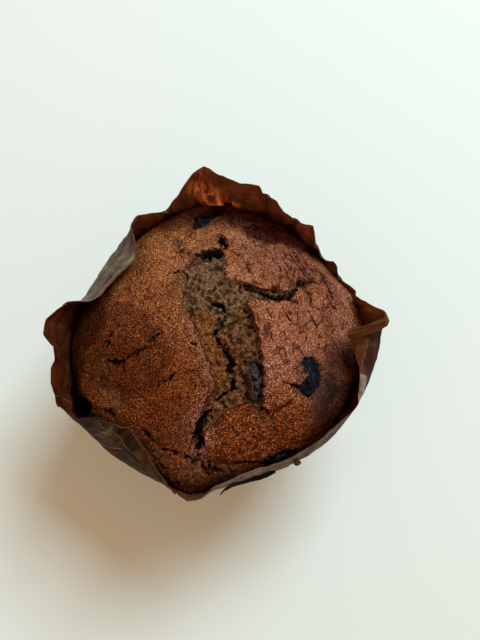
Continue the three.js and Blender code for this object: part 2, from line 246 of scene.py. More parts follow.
toastShapes = [  # painted shade where the paper shades the crust, partly darker baking too: strength and outline
    (0.72, [(-3, 38.5), (2, 34.5), (6.7, 30), (12.8, 26.2), (18, 26.2), (22.5, 25.2), (27.5, 22.5),
     (33, 18.2), (40, 14.5), (42, 30), (20, 44), (0, 44)]),
    (1, [(6.7, 30.5), (12.8, 26.2), (18, 26.2), (22.5, 25.4), (27.5, 23), (33, 18.5), (36, 19), (29, 26),
     (21, 31), (12, 33.5), (6.5, 34)]),
    (0.76, [(-24, 27), (-28, 18), (-29.5, 10), (-30, 3), (-34.5, -2), (-37.5, -9), (-37.5, -14), (-46, -12),
     (-46, 10), (-32, 30)]),
    (0.62, [(36.5, 1.5), (34.6, -4), (35.4, -10.5), (33.4, -16), (31, -20), (34, -26), (42, -22), (46, -4)]),
    (0.33, [(4, 27), (8, 21), (15, 15.5), (24, 14), (30, 12), (36, 8), (33, 18), (20, 27)]),
    (0.37, [(-38, -4), (-32, 10), (-22, 9), (-14, 2), (-12, -8), (-19, -16), (-31, -14)]),
    (0.6, [(29.5, -3), (33, 1), (38, 0), (38, -18), (32, -25), (25, -29), (22, -27), (27, -22), (30, -15),
     (31, -9)]), (0.26, [(-16, -33.5), (-9, -35.5), (-2, -37), (6, -37.6), (4, -44), (-18, -42)]),
    (0.39, [(-36, -18), (-28, -23), (-20, -29), (-24, -38), (-40, -24)]),
    (0.34, [(-24, 25), (-18, 28), (-10, 32.5), (-12, 40), (-32, 28)]),
]
stainPlaces = [  # (x, y, reach, strength): juice that soaked into the crust; the strong place at (-39.5, -16.5) is painted shade in the hollow beside the left berry
    (30, -13.5, 8, 0.8), (28.5, -19, 6, 0.6), (34, -6, 5, 0.45), (26.5, -4, 2, 0.4), (11.8, -9, 2.4, 0.5),
    (2.6, 34.5, 4, 0.4), (0, 38.5, 3.5, 0.9), (-39.5, -16.5, 4.6, 1), (-33.5, -12, 3, 0.3),
    (-31, -3, 3, 0.3), (17, -29, 1.2, 0.5),
]


def bareRadius(angle):
    radii = np.array(cake["equatorRadii"])
    place = (np.asarray(angle) / (2.0 * math.pi)) % 1.0 * len(radii)
    start = np.floor(place).astype(int)
    eased = smooth(0.0, 1.0, place - start)
    return mix(radii[start % len(radii)], radii[(start + 1) % len(radii)], eased)


def equatorRadius(angle):
    dent = cake["dent"]
    away = turnFrom(dent["direction"], np.degrees(angle))
    return bareRadius(angle) - dent["depth"] * hump(away, dent["reach"])


def wallRadius(angle, height):
    lip = equatorRadius(angle) - cake["footRadius"] - cake["wallFlare"]
    cone = cake["footRadius"] + cake["wallFlare"] * height / cake["equatorHeight"]
    return cone + lip * smooth(cake["lipStart"], cake["equatorHeight"] + 1.0, height)


def domeHeight(share):
    return cake["equatorHeight"] + cake["rise"] * np.sqrt(1.0 - np.clip(share, 0.0, 1.0) ** 2.2)


# berries: direction in degrees, share of the way out, half sizes across, along and down, turn,
# crumbs on the skin, blue bloom, and the outline in which the crust leaves them bare
berryFacts = {
    "berry_right": {
        "direction": 338, "share": 0.69, "half": (3.6, 5.6, 2.7), "turn": 8, "dust": 0.08, "bloom": 1,
        "bare": [(24.2, -6.4), (24.8, -5.3), (27.4, -5.5), (28.6, -6.7), (29, -9.7), (28.7, -12),
         (27.5, -14.3), (25, -16.6), (23.3, -16.6), (21.9, -14), (22.4, -12.8), (24.3, -12), (24.8, -10.2),
         (24.2, -8.4)],
    },
    "berry_back": {
        "direction": 96, "share": 0.87, "half": (5, 3.6, 2.6), "turn": 22, "dust": 0.15, "bloom": 1,
        "bare": [(-6.8, 31), (-3.4, 32.4), (-0.6, 34.6), (1.6, 36.8), (1, 40), (-3, 40), (-6.4, 36)],
    },
    "berry_split": {
        "direction": 311, "share": 0.41, "half": (2.2, 5.4, 2.6), "turn": -2, "dust": 0.85, "bloom": 1,
        "bare": [(10.2, -7.4), (12.8, -7), (13.2, -12), (13, -17.4), (11.6, -16.8), (10.4, -15),
         (10.9, -12.4), (9.9, -10.2)],
    },
    "berry_left": {
        "direction": 207.5, "share": 0.96, "half": (3.4, 4.2, 2.8), "turn": 10, "dust": 0, "bloom": 0.12,
        "bare": [(-36.4, -12.4), (-34.6, -14.4), (-34.3, -17), (-34.6, -19.6), (-36, -22.4), (-44, -20),
         (-42, -12)],
    },
    "berry_front": {
        "direction": 299.5, "share": 0.95, "half": (5, 3.2, 2.6), "turn": 30, "dust": 0, "bloom": 0.12,
        "bare": [(14, -32.6), (16.6, -30.6), (20.4, -28.8), (23.6, -27.6), (26, -31), (17, -38), (14, -36)],
    },
}
berryProud = 0.7              # how far a berry stands out of the crust
beneath = 9.0                 # added to what lies under a berry, which it doesn't cover


def berryPlace(facts):  # centre of the berry and the turn that lays it in the crust
    angle = math.radians(facts["direction"])
    step = 0.02
    reach = float(bareRadius(angle))
    fall = float(domeHeight(facts["share"] - step) - domeHeight(facts["share"] + step))
    slope = math.atan2(fall, 2.0 * step * reach)
    outward = Vector((math.sin(slope) * math.cos(angle), math.sin(slope) * math.sin(angle), math.cos(slope)))
    radius = reach * facts["share"]
    surface = Vector((radius * math.cos(angle), radius * math.sin(angle), float(domeHeight(facts["share"]))))
    upright = Vector((0.0, 0.0, 1.0)).rotation_difference(outward)
    turn = upright @ Quaternion((0.0, 0.0, 1.0), math.radians(facts["turn"]))
    return surface + outward * (berryProud - facts["half"][2]), turn


def berryCover(spots, facts):  # share of the way out from the berry's middle, seen along its own depth
    centre, turn = berryPlace(facts)
    local = (spots - np.array(centre)) @ np.array(turn.to_matrix()) / np.array(facts["half"])
    return np.hypot(local[:, 0], local[:, 1]) + beneath * (local[:, 2] < -1.0)


def shapeCake(piece):
    net = readPoints(piece)
    u, v, level = net[:, 0], net[:, 1], np.round(-net[:, 2]).astype(int)
    across = u * np.sqrt(1.0 - v * v / 2.0)
    up = v * np.sqrt(1.0 - u * u / 2.0)
    out = np.minimum(1.0, np.hypot(across, up))
    angle = np.arctan2(up, across)
    share = mix(out, smooth(0.0, 1.0, out), 0.35)
    radius = equatorRadius(angle) * share
    height = domeHeight(share)
    for k, ring in enumerate(cake["wallRings"], start=1):
        here = level == k
        radius[here] = wallRadius(angle[here], ring)
        height[here] = ring
    spots = np.stack([radius * np.cos(angle), radius * np.sin(angle), height], axis=1)
    onTop = level == 0
    for direction, wide, swell in cake["swells"]:
        reach = swell * hump(turnFrom(direction, np.degrees(angle)), wide)
        reach = reach * smooth(0.74, 0.91, share) * smooth(1.0, 0.95, share) * onTop
        spots[:, 0] += reach * np.cos(angle)
        spots[:, 1] += reach * np.sin(angle)
    writePoints(piece, spots)
    normals = readPoints(piece, "normal")
    x, y = spots[:, 0], spots[:, 1]

    # ragged edges: the outlines are read at places pushed about by noise
    warp = np.stack([0.8 * lumps(spots, 2.6, seed) + 0.65 * lumps(spots, 1.2, seed + 1)
                     + 0.2 * lumps(spots, 0.6, seed + 2) for seed in (1, 61, 91)], axis=1)

    def pushed(share):
        return x + share * warp[:, 0], y + share * warp[:, 1]

    qx, qy = pushed(1.0)
    split = np.maximum(insideShape(qx, qy, splitOutline), insideShape(qx, qy, holeOutline))
    torn = smooth(-0.1, cake["tornStep"], split)
    golden = smooth(-0.8, 1.2, insideShape(qx, qy, goldenStrip)) * torn
    bead = 0.62 * lumps(spots, 1.15, 31) + 0.4 * lumps(spots, 0.6, 32)  # breaks the cracks up
    gap = insideLines(*pushed(0.75), gapLines) + bead
    cliff = insideLine(*pushed(0.45), cliffLine)
    crease = insideLines(*pushed(0.4), creaseLines) + 0.16 * bead + 0.12
    furrow = insideLines(*pushed(0.75), furrowLines) + 0.6 * bead
    wildX, wildY = pushed(2.0)
    rough = np.zeros(len(spots))
    for px, py, reach, strength in roughPlaces:
        near = 1.0 - smooth(0.3 * reach, reach, np.hypot(wildX - px, wildY - py))
        rough = np.maximum(rough, strength * near)

    # the crust: broad rises, fine grain, and a curl along the split
    swell = 0.5 * np.sin(x / 7.0 + 1.0) * np.cos(y / 9.0) + 0.35 * np.sin((x + y) / 5.0)
    for px, py, wide, tall, lift in lobes:
        swell = swell + lift * np.exp(-((x - px) / wide) ** 2 - ((y - py) / tall) ** 2)
    bumps = 0.42 * lumps(spots, 6.5, 5) + 0.26 * lumps(spots, 2.8, 6)
    finer = lumps(spots, 0.62, 8)
    nubbly = np.exp(-((x - 13.0) / 13.0) ** 2 - ((y + 27.0) / 9.0) ** 2)
    grain = (0.08 + 0.14 * nubbly) * lumps(spots, 1.15, 7) + (0.11 + 0.05 * nubbly) * finer
    pits = smooth(0.26, 0.5, lumps(spots, 0.9, 14) + 0.3 * finer)
    grain = grain - (0.14 + 0.12 * nubbly) * pits
    curl = cake["lipLift"] * np.exp(np.minimum(split, 0.0) / 2.6) * mix(1.7, 0.8, smooth(-4.0, 4.0, x))
    plate = cake["plateLift"] * np.exp(-np.abs(np.minimum(cliff, 0.0)) / 5.0) * (qx > 8.0) * (split < 0.0)
    crust = swell + bumps + grain + curl + plate

    # the crumb: small torn clumps and open pores
    broad = lumps(spots, 3.4, 15)
    clumps = lumps(spots, 1.35, 9) + 0.6 * lumps(spots, 0.8, 10)
    pores = smooth(0.1, 0.42, lumps(spots, 1.15, 11) + 0.45 * finer - 0.35 * clumps)
    sink = cake["crumbDepth"] * (0.45 + 0.55 * smooth(0.2, 2.6, split)) * (1.0 - 0.7 * golden)
    sink = sink + 0.6 * (1.0 - smooth(0.0, 3.5, -cliff)) * torn
    coarse = 0.8 * broad + 0.52 * clumps + 0.32 * finer
    crumb = swell - sink + coarse - 0.8 * pores * (1.0 - 0.35 * golden)

    fade = 1.0 - smooth(0.9, 1.0, share)
    relief = mix(crust, crumb, torn)
    relief += rough * (0.5 * lumps(spots, 1.6, 13) + 0.3 * lumps(spots, 0.8, 12) - 0.4 * pores) * (1.0 - torn)
    drop = smooth(-0.3, 0.4, cliff) * torn
    relief -= cake["gapDepth"] * smooth(-0.1, 0.55, gap) * mix(0.5, 1.0, torn) + 0.6 * drop
    relief -= 0.35 * smooth(-0.2, 0.25, crease) * (1.0 - torn) + 0.45 * smooth(-0.9, 0.6, furrow)
    relief = relief * fade + (bumps * 0.5 + grain) * (1.0 - fade)
    stain = np.zeros(len(spots))
    for facts in berryFacts.values():
        ragged = berryCover(spots + 0.8 * warp, facts)
        bare = smooth(-0.25, 0.3, insideShape(qx, qy, facts["bare"])) * (1.0 - smooth(0.98, 1.12, ragged))
        plain = berryCover(spots, facts)
        over = berryProud - facts["half"][2] * (1.0 - np.sqrt(np.clip(1.0 - plain ** 2, 0.0, 1.0)))
        covered = (1.0 - smooth(0.9, 1.15, plain)) * (1.0 - bare)
        crusted = np.maximum(relief, mix(relief, over + 0.45 + 0.5 * grain, covered))
        relief = mix(np.where(plain < 1.15, crusted, relief), -cake["berrySocket"], bare)
        blot = 1.0 - smooth(0.85, 1.7, ragged)
        stain = np.maximum(stain, np.maximum(0.55 * blot, bare))
    for px, py, reach, strength in stainPlaces:
        away = np.hypot(qx - px, qy - py) / reach
        stain = np.maximum(stain, strength * (1.0 - smooth(0.35, 1.1, away + 0.25 * broad)))
    # painted shade near the paper and in the back petal's shadow, with some darker baking
    toast = cake["edgeToast"] * smooth(0.94, 1.0, share)
    toastX, toastY = (place + 0.9 * broad for place in pushed(0.5))
    for strength, outline in toastShapes:
        toast = np.maximum(toast, strength * smooth(-1.7, 1.7, insideShape(toastX, toastY, outline)))
    spots = spots + normals * (relief * onTop)[:, None]
    writePoints(piece, spots * mm)

    leftLip = smooth(11.0, 6.0, y) * smooth(5.0, 3.0, x)
    rightLip = smooth(10.0, 8.0, y) * smooth(7.0, 8.0, x)
    dryness = lumps(spots, 6.0, 19) + 0.9 * smooth(4.0, 16.0, x) * smooth(-16.0, 4.0, y)
    writeMasks(
        piece,  # the first four are distances in millimetres, which the finish cuts off sharply
        split=np.clip(split, -2.0, 2.0),
        gap=np.clip(np.maximum(gap, np.where(split > 0.0, cliff - 0.1, -2.0)), -2.0, 2.0),
        crease=np.clip(np.where(split > 0.0, -2.0, crease), -2.0, 2.0),
        cliff=np.clip(cliff, -2.0, 2.0),
        rough=rough,
        golden=golden,
        pores=pores * np.maximum(torn * mix(1.0, 0.6, golden), rough),
        stain=stain,
        toast=toast,
        lipped=np.maximum(smooth(-0.7, 0.0, bead), 0.85 * leftLip),
        pits=np.maximum(pits * (0.4 + 0.5 * nubbly), 0.4 * smooth(-0.4, 0.8, furrow)),
        calm=np.maximum(leftLip, rightLip) * smooth(-20.5, -18.0, y),
        dry=0.25 + 0.75 * smooth(-0.15, 0.5, dryness),
        nubbly=nubbly,
        # the right side is rosier: partly painted sheen from the lamp
        ruddy=smooth(-8.0, 18.0, x + 3.0 * broad) * smooth(-19.0, -8.0, y + 3.0 * broad),
        # painted light: paler towards the lamp, deeper away from it
        lit=smooth(-13.0, 14.0, y + 0.45 * x + 4.0 * broad),
        # painted highlight along the split's left lip, where it curls towards the lamp
        lip=np.exp(np.minimum(split, 0.0) / 1.8) * smooth(-0.2, 0.2, -split) * smooth(2.0, -2.0, x),
        olive=smooth(-2.0, 12.0, y + 4.0 * broad),
    )


def makeCake():
    selectOnly()
    cells = cake["netCells"]
    bpy.ops.mesh.primitive_grid_add(x_subdivisions=cells, y_subdivisions=cells, size=2)
    piece = bpy.context.object
    bpy.ops.object.mode_set(mode="EDIT")
    bpy.ops.mesh.select_mode(type="EDGE")
    bpy.ops.mesh.select_all(action="SELECT")
    bpy.ops.mesh.region_to_loop()  # the net's border, which becomes the equator
    for _ in cake["wallRings"]:
        bpy.ops.mesh.extrude_edges_move(TRANSFORM_OT_translate={"value": (0, 0, -1)})
    bpy.ops.mesh.edge_face_add()
    bpy.ops.object.mode_set(mode="OBJECT")
    shapeCake(piece)
    pointOutwards()
    addCrumb(piece)
    finishPiece(piece, "cake_crust", "cake")
    return piece


def addCrumb(piece):
    selectOnly()
    bpy.ops.mesh.primitive_ico_sphere_add(subdivisions=4, radius=1.0)
    crumb = bpy.context.object
    ball = readPoints(crumb)
    ball *= (1.0 + 0.3 * lumps(ball, 0.8, 51) + 0.14 * lumps(ball, 0.35, 52))[:, None]
    writePoints(crumb, (ball * cake["looseHalf"] + cake["looseCrumb"]) * mm)
    names = [mask.name for mask in piece.data.attributes if mask.data_type == "FLOAT"]
    distances = ("split", "gap", "crease", "cliff")
    writeMasks(crumb, **{name: -2.0 if name in distances else 0.3 for name in names})
    selectOnly(crumb, piece)
    bpy.ops.object.join()


cakePiece = makeCake()


# the berries

def makeBerry(name, facts, seed):
    selectOnly()
    bpy.ops.mesh.primitive_uv_sphere_add(segments=96, ring_count=60, radius=1.0)
    piece = bpy.context.object
    ball = readPoints(piece)
    folds = (1.0 - np.abs(lumps(ball, 0.62, seed + 2)) * 2.4).clip(0.0, 1.0) ** 2
    swollen = 0.09 * lumps(ball, 0.5, seed) + 0.05 * lumps(ball, 0.2, seed + 1) - 0.13 * folds
    ball = ball * (1.0 + swollen)[:, None]
    sunk = ball[:, 2] > 0.0  # the skin has fallen in where it faces out
    ball[sunk, 2] *= 0.8 + 0.35 * lumps(ball[sunk], 0.45, seed + 3)
    centre, turn = berryPlace(facts)
    spots = (ball * np.array(facts["half"])) @ np.array(turn.to_matrix()).T + np.array(centre)
    writePoints(piece, spots * mm)
    writeMasks(piece, dust=facts["dust"], bloom=facts["bloom"])
    finishPiece(piece, name + "_skin", name)
    return piece


berryPieces = [makeBerry(name, facts, 20 + 3 * k) for k, (name, facts) in enumerate(berryFacts.items())]


# the paper case

paper = {
    "gap": 0.4,               # between cake and sheet
    "thickness": 0.2,
    "pleatDepth": 1.1,
    "rimPleatDepth": 0.5,
    "bellyCrease": 1.7,       # above 1 the sheet turns in more sharply at the belly
    "columnStep": 0.65,       # degrees between columns of the sheet
    "foldColumns": 3,
    "wallHeights": [0.25, 1.2, 4, 8, 12, 16, 20, 24, 28, 32, 36, 40, 43, 46, 49, 51.5, 54],
    "rimSteps": 34,
    "curlSteps": 6,
    "curlRadius": 0.95,
    "smoothColumns": 3,       # the edge's run is measured across this many columns each way
    "degreeLength": 0.7,      # mm to a degree and to a level, for lines drawn on the sheet
    "levelLength": 18.0,
    "flatRadius": 45.0,       # the sheet's pattern runs round a tube of this radius
    "crumple": 0.34,
    "secondLift": 0.55,       # a second layer lies over the first beyond the second edge
}

rimTurns = [  # direction in degrees, radius and height of the free edge
    (2.1, 36.6, 73.5), (3.4, 36.8, 74.5), (4.3, 41.1, 77), (5.8, 45.8, 80), (8.1, 45.4, 78), (10.4, 44, 75),
    (14.9, 42.6, 70), (18.1, 41.4, 65), (20.5, 42.1, 62.5), (23, 41.6, 61.5), (25.5, 40.6, 61),
    (29.1, 39.5, 60.5), (32.4, 40.8, 61.5), (35.1, 40.9, 61.5), (37.6, 39.5, 60.5), (40.4, 39.1, 61),
    (43.6, 38.4, 67), (49.4, 42, 70), (54, 40.1, 71), (62, 39.4, 75), (65.9, 41, 76.5), (71.7, 41, 78),
    (73.5, 42.8, 79), (80.6, 41.9, 80), (88.5, 43, 83), (93.8, 44.7, 85), (97.9, 43.8, 83),
    (103.7, 40.4, 78.5), (107.6, 38.6, 76), (110.4, 37.9, 71), (117.3, 40.6, 68.5), (121.8, 42, 67),
    (124.2, 41.8, 67), (125.8, 41, 67.5), (126.8, 40, 70), (130.3, 34.7, 71), (135, 31.8, 71.5),
    (147.3, 32.5, 71.5), (155.6, 33.5, 71.5), (159.9, 34.1, 71.5), (163.5, 36.1, 71.5), (166.3, 41.2, 73.5),
    (174.3, 45.4, 77), (179.7, 45.6, 79), (183.6, 43.3, 76), (188.4, 43.7, 74), (190.7, 44.9, 73.5),
    (195.2, 46, 72), (199.3, 46, 69), (202.6, 47, 66.5), (206, 45.6, 66), (209.7, 44.1, 66.5),
    (212.7, 39.6, 70), (216, 37.9, 71), (221, 36.3, 72), (226.6, 33.2, 73), (238.9, 35.5, 73),
    (246.9, 38.6, 72.5), (255.8, 42.7, 72), (260.6, 44.3, 73), (264.9, 43.4, 72), (269.5, 40, 69),
    (280.1, 37.8, 66), (289.7, 37.4, 65.5), (299.4, 38.3, 65), (307.2, 38.8, 65), (316.4, 40.2, 65),
    (322.7, 40.7, 64.5), (329, 41.9, 64.5), (331.5, 42.6, 65), (334.5, 43.2, 65.5), (336.5, 43.3, 66),
    (339, 42.3, 66), (343, 41.9, 67), (348.2, 40.6, 69), (355.5, 38.4, 71.5),
]
bellyTurns = [  # direction and radius halfway up to the free edge
    (0, 46.2), (5, 46.9), (10, 44.8), (15, 42.8), (20, 41.2), (30, 40), (42, 39.8), (50, 40.8), (67, 41.2),
    (80, 41.8), (94, 42.8), (100, 42), (107, 40.6), (118, 41), (126, 41.3), (130, 40.2), (136, 39.2),
    (145, 38.5), (155, 38.6), (160, 39.2), (165, 41.2), (170, 43), (180, 43.2), (191, 43.6), (199, 44.8),
    (205, 45.8), (209, 45), (214, 43.8), (222, 42.5), (229, 41.6), (236, 41.2), (243, 41.4), (250, 42),
    (260, 43.6), (265, 43), (270, 40.8), (277, 39.1), (286, 38.7), (293, 38.9), (300, 39.8), (311, 41.1),
    (318, 42), (326, 42.5), (334, 43.2), (344, 44.1), (352, 44.9),
]
curlTurns = [  # direction and how far the free edge rolls outwards there
    (-22, 0.1), (-6, 0.5), (-1, 1.1), (2, 1.5), (5, 1.5), (7, 0.6), (16, 0), (100, 0.1), (150, 0.15),
    (170, 0.3), (196, 0.3), (206, 0.2), (214, 0.1), (260, 0.3), (285, 0.1), (338, 0.2),
]
insideTurns = [  # direction and how light the greasy inside is there
    (0, 0.35), (6, 0.6), (12, 0.8), (25, 0.6), (50, 0.6), (70, 0.65), (92, 0.8), (108, 0.9), (125, 0.95),
    (150, 0.4), (168, 0.12), (190, 0.08), (210, 0.05), (225, 0.2), (262, 0.35), (300, 0.3), (335, 0.02),
    (346, 0.1), (354, 0.12),
]
outsideTurns = [  # direction and how pale and dry the outside is there, partly painted sheen on the flap round 130 to 165 degrees
    (0, 0.06), (15, 0.3), (60, 0.42), (103, 0.45), (107, 0), (112, 0), (118, 0.4), (128, 0.44), (145, 0.36),
    (158, 0.45), (166, 0.5), (185, 0.3), (205, 0.02), (225, 0.03), (255, 0.05), (268, 0.2), (278, 0.48),
    (290, 0.52), (305, 0.34), (325, 0.3), (335, 0.4), (350, 0.1),
]
facets = [  # flat parts between folds: tone, painted shadow, and outline in direction and level; the third's pale tone is painted sheen
    (0, 0.5, [(5, 1.95), (-0.8, 1.84), (-11.2, 1.96), (-12, 1.93), (-14, 1.79), (-19.9, 1.62), (-20, 0.9),
     (6, 0.9)]), (0.22, 0, [(3.5, 2.3), (2.8, 2.1), (-0.8, 1.84), (-11.2, 1.96), (-11.5, 2.3)]),
    (1, 0, [(-11.6, 2.3), (-12, 1.95), (-14, 1.79), (-19.9, 1.62), (-24, 1.75), (-23, 2.3)]),
    (0.1, 0.6, [(-140, 2.3), (-138.5, 1.93), (-131, 1.84), (-127, 1.84), (-126, 1.9), (-127, 2.3)]),
    (0.3, 0, [(-143, 1.62), (-139.5, 1.7), (-137.5, 1.88), (-139, 1.98), (-141, 1.84)]),
    (0.02, 0.45, [(-156, 0.9), (-156, 2.2), (-146, 2.2), (-145, 1.7), (-146, 0.9)]),
]
glowTurns = [  # direction and how much light comes through the sheet
    (0, 0.35), (6, 0.8), (30, 0.85), (60, 0.7), (92, 0.65), (125, 0.65), (142, 0.05), (250, 0), (350, 0.05),
]
oilPlaces = [  # where fat has soaked in: direction, level, reach in degrees, reach in level, strength
    (97, 1.78, 5, 0.34, 0.95), (92, 1.4, 6, 0.3, 0.9), (88, 1.12, 7, 0.15, 0.95), (80, 1.1, 8, 0.12, 0.45),
    (12, 1.7, 6, 0.3, 0.3), (55, 1.6, 12, 0.5, 0.25), (184, 1.5, 10, 0.3, 0.2), (0, 2.5, 9, 0.5, 0.8),
    (114, 1.6, 9, 0.5, 0.35),
]
turnedPlaces = [(352, 2, 5, 0.24, 1.5), (358, 1.85, 5, 0.22, 1.5)]  # the inner face rolled outwards
# edges in direction and level: the second layer's, and the left petal's where it lies over the next
secondEdge = [(221, 2.2), (223, 1.92), (229, 1.82), (234, 1.81), (241, 1.79), (251, 1.79), (256, 1.98)]
innerEdge = [(198.5, 2.2), (199.4, 2), (201.4, 1.44), (203.2, 1)]
foldLines = [  # thin pale creases, partly a painted highlight along each fold: rows of direction and level
    [(214, 1.3), (222, 1.5), (230, 1.74)], [(205, 1.7), (212, 1.62), (221, 1.88)], [(216, 1.96), (219, 1.9)],
    [(226, 1.86), (227, 1.98)], [(238, 1.82), (240, 1.98)],
    [(228, 1.1), (236, 1.35), (243, 1.6), (248, 1.78)], [(133, 1.15), (141, 1.4), (150, 1.5), (160, 1.9)],
    [(136, 1.9), (146, 1.6), (156, 1.4), (163, 1.35)], [(2.8, 2.08), (-0.8, 1.84), (-11.2, 1.97)],
    [(0.5, 1.85), (-3.4, 1.71)], [(-2.7, 1.82), (-0.2, 1.65)], [(346, 1.82), (340, 1.64), (336, 1.76)],
    [(272, 1.5), (280, 1.66), (290, 1.72), (302, 1.78), (314, 1.86), (326, 1.9)],
    [(276, 1.25), (288, 1.42), (300, 1.5), (312, 1.62), (322, 1.66)],
    [(296, 1.1), (306, 1.3), (318, 1.4), (330, 1.5)], [(228, 1.98), (240, 2.02), (250, 2)],
    [(130, 1.96), (140, 1.99), (150, 1.98), (160, 1.97), (167, 1.95)], [(129, 1.7), (132, 1.5), (134, 1.3)],
    [(146, 1.9), (149, 1.75), (154, 1.62)], [(134, 1.75), (138, 1.86), (143, 1.82)],
    [(268, 1.72), (276, 1.82), (284, 1.8), (292, 1.88), (303, 1.95)],
    [(262, 1.92), (272, 1.9), (284, 1.96), (297, 1.97)], [(276, 1.62), (285, 1.7), (294, 1.76), (302, 1.84)],
    [(312, 1.7), (322, 1.8), (330, 1.92)],
]
pleats = [  # direction, width in degrees at the equator and at the free edge, 1 or -1 for the way it folds
    (14, 4, 0, 1), (29, 3.5, 1.2, -1), (43, 4.5, 1.5, 1), (56, 4, 1.5, 1), (70, 3, 1.2, -1), (84, 3.5, 0, 1),
    (99, 3, 0, -1), (108.5, 3.5, 2, 1), (124, 3.5, 0, -1), (141, 4.5, 0, 1), (156, 4, 0, -1),
    (167, 3.5, 1, 1), (183, 3, 0, 1), (200, 5, 3, 1), (218, 4, 0, -1), (231, 4.5, 0, 1), (246, 4, 0, -1),
    (264, 4, 0, 1), (281, 3.5, 0, -1), (297, 4.5, 0, 1), (312, 4, 0, -1), (329, 4.5, 0, 1),
    (344, 3.5, 0, -1), (356, 3, 0, 1),
]


def around(angle, table, column=1):  # value at a direction, from rows that go round once
    rows = np.array(table)
    return np.interp(angle, rows[:, 0], rows[:, column], period=360.0)


def sheetColumns():  # base direction, pleat number, share of its width, and which half of the fold
    columns = []
    fold = paper["foldColumns"]
    for k, (direction, *_) in enumerate(pleats):
        columns += [(direction, k, step / fold, 0) for step in range(1, fold + 1)]
        columns += [(direction, k, step / fold, 1) for step in range(fold - 1, -1, -1)]
        following = pleats[(k + 1) % len(pleats)][0]
        if k + 1 == len(pleats):
            following += 360
        count = max(2, round((following - direction) / paper["columnStep"]))
        columns += [(mix(direction, following, step / count), -1, 0.0, 0) for step in range(1, count + 1)]
    return columns


def pleatWidth(k, level):
    _, atEquator, atRim, _ = pleats[k]
    if level <= 1.0:
        return atEquator * float(smooth(0.0, 1.0, level * 1.25))
    return mix(atEquator, atRim, float(smooth(0.0, 0.5, level - 1.0)))


def pleatDepth(k, level):
    depth = paper["pleatDepth"] * (0.25 + 0.75 * min(1.0, level * 1.6))
    if level > 0.85:  # the pleats open out above the cake's shoulder
        kept = paper["rimPleatDepth"] * min(1.0, pleats[k][2]) / paper["pleatDepth"]
        depth *= mix(1.0, kept, float(smooth(0.85, 1.12, level)))
    return depth


def beyondSecond(direction, level):  # how far a place lies past the second layer's edge
    turns, levels = np.array(secondEdge).T
    inside = (turns[0] < np.asarray(direction)) & (np.asarray(direction) < turns[-1])
    return np.where(inside, level - np.interp(direction, turns, levels), -1.0)


def sheetPoint(base, pleat, part, half, level, height):
    # level runs from 0 at the foot to 1 at the equator and 2 at the free edge
    angle, offset = base, 0.0
    if pleat >= 0:
        way = pleats[pleat][3]
        depth = pleatDepth(pleat, level)
        angle = base + way * pleatWidth(pleat, level) * part
        over = (half == 0) if way > 0 else (half == 1)
        offset = depth if over else depth * part
    else:
        for k, (direction, _, _, way) in enumerate(pleats):
            ahead = way * turnFrom(base, direction)
            ramp = 2.0 * pleatWidth(k, level) + 0.4
            if -1e-6 * way < ahead < ramp:  # the column on the fold itself comes before the fold
                offset = max(offset, pleatDepth(k, level) * float(1.0 - smooth(0.0, ramp, ahead)))
    turn = math.radians(angle)
    inside = paper["gap"] + paper["thickness"]
    if level <= 1.0:
        radius = float(wallRadius(turn, height)) + inside + offset
        return radius * math.cos(turn), radius * math.sin(turn), height
    share = level - 1.0
    firm = paper["bellyCrease"]
    equator = (float(wallRadius(turn, cake["equatorHeight"])) + inside, cake["equatorHeight"])
    rim = (float(around(angle, rimTurns, 1)), float(around(angle, rimTurns, 2)))
    middle = (float(around(angle, bellyTurns)), mix(equator[1], rim[1], 0.5))
    pull = [(middle[c] * (2.0 + 2.0 * firm) - equator[c] - rim[c]) / (2.0 * firm) for c in (0, 1)]
    keep = [(1.0 - share) ** 2, 2.0 * share * (1.0 - share) * firm, share ** 2]
    radius, tall = ((keep[0] * equator[c] + keep[1] * pull[c] + keep[2] * rim[c]) / sum(keep) for c in (0, 1))
    lift = paper["secondLift"] * float(smooth(0.0, 0.035, beyondSecond(angle, level)))
    radius += offset - 0.2 * share + lift
    if pleat >= 0:
        tall -= 0.8 * share * part * min(1.0, pleatWidth(pleat, level))
    return radius * math.cos(turn), radius * math.sin(turn), tall


def rollRim(table, columns, rimRow):  # carries the sheet on past its edge, rolled outwards where it curls
    rim = table[:, rimRow]
    reach = paper["smoothColumns"]
    along = np.roll(rim, -reach, axis=0) - np.roll(rim, reach, axis=0)
    wide = np.roll(rim, -3 * reach, axis=0) - np.roll(rim, 3 * reach, axis=0)
    folded = (along * wide).sum(axis=1) < 0.3 * np.linalg.norm(wide, axis=1)  # runs back on itself
    along[folded] = wide[folded]
    rise = rim - table[:, rimRow - 3]
    rise /= np.linalg.norm(rise, axis=1)[:, None]
    outwards = np.cross(along, rise)
    outwards /= np.linalg.norm(outwards, axis=1)[:, None]
    curl = around([column[0] for column in columns], curlTurns)[:, None]
    size = paper["curlRadius"] * (0.3 + 0.7 * curl)
    for step in range(1, paper["curlSteps"] + 1):
        share = step / paper["curlSteps"]
        roll = share * np.minimum(1.2, curl) * 2.9
        plain = share * 0.25 * np.maximum(0.0, 1.0 - curl)
        table[:, rimRow + step] = (rim + rise * (size * np.sin(roll) + plain)
                                   + outwards * size * (1.0 - np.cos(roll)))


